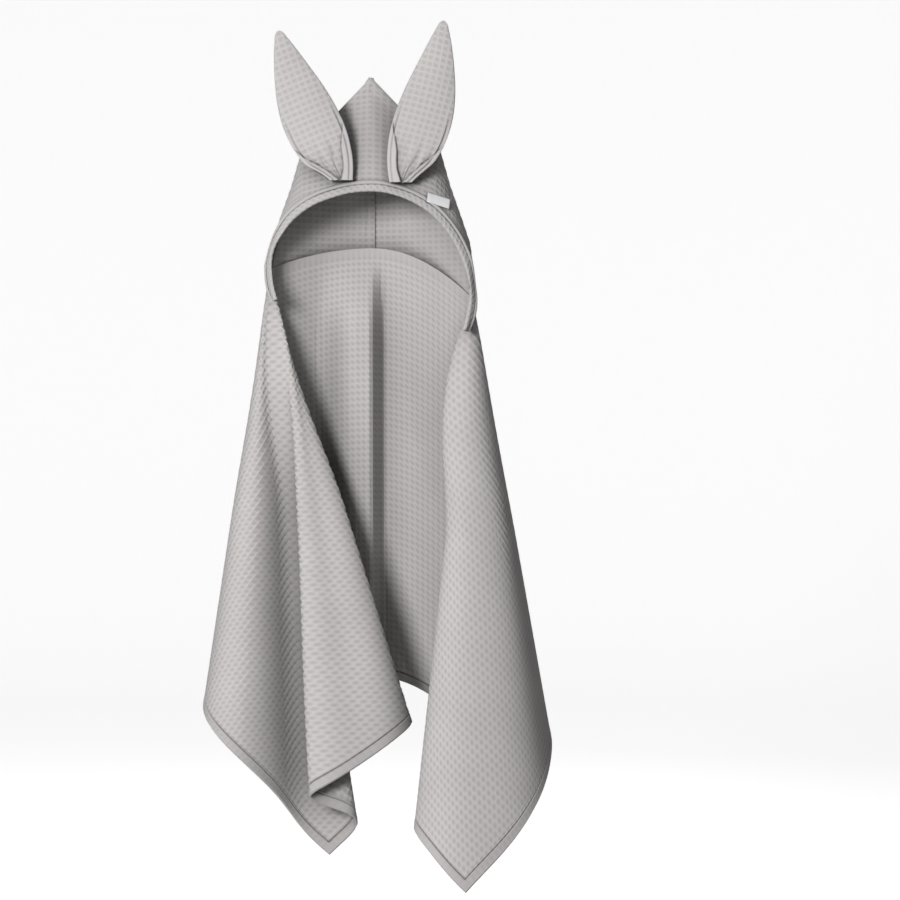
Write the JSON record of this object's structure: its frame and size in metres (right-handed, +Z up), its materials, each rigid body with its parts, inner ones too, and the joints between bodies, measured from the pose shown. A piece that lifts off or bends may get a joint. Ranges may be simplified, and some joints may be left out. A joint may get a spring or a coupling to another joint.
{
  "type": "hooded baby towel",
  "caption": "Waffle cotton baby towel sewn to a pointed hood with a bound face opening and rabbit ears, hanging by its hood.",
  "frame": {"origin": "inside the crown of the hood, at its peak, where a hook or the top of a head holds the towel up", "axes": "+Z up, -Y is the front with the face opening, +X to the right seen from the front"},
  "size_m": [0.4436, 0.2937, 1.0781],
  "materials": {
    "waffle_cotton": "matte waffle weave cotton, light warm grey",
    "band_cotton": "matte cotton, the same cloth cut as a binding strip",
    "label_tape": "blank white woven tape"
  },
  "bodies": {
    "towel": {"towel_body": "waffle_cotton", "hood_front_panel": "waffle_cotton", "hood_back_left": "waffle_cotton", "hood_back_right": "waffle_cotton", "hood_band": "band_cotton"},
    "left_ear": {"left_ear_front": "waffle_cotton", "left_ear_back": "waffle_cotton"},
    "right_ear": {"right_ear_front": "waffle_cotton", "right_ear_back": "waffle_cotton"},
    "label": {"woven_label": "label_tape"}
  },
  "joints": [
    {"name": "left_ear_flop", "type": "hinge", "parent": "towel", "child": "left_ear", "pos_m": [-0.034, -0.05586, -0.14133], "axis": [1, 0, 0], "range_deg": [-8, 150]},
    {"name": "right_ear_flop", "type": "hinge", "parent": "towel", "child": "right_ear", "pos_m": [0.038, -0.05533, -0.14397], "axis": [1, 0, 0], "range_deg": [-8, 150]},
    {"name": "label_flip", "type": "hinge", "parent": "towel", "child": "label", "pos_m": [0.08529, -0.03967, -0.16877], "axis": [0.8719, 0.4268, -0.2399], "range_deg": [0, 150]}
  ]
}
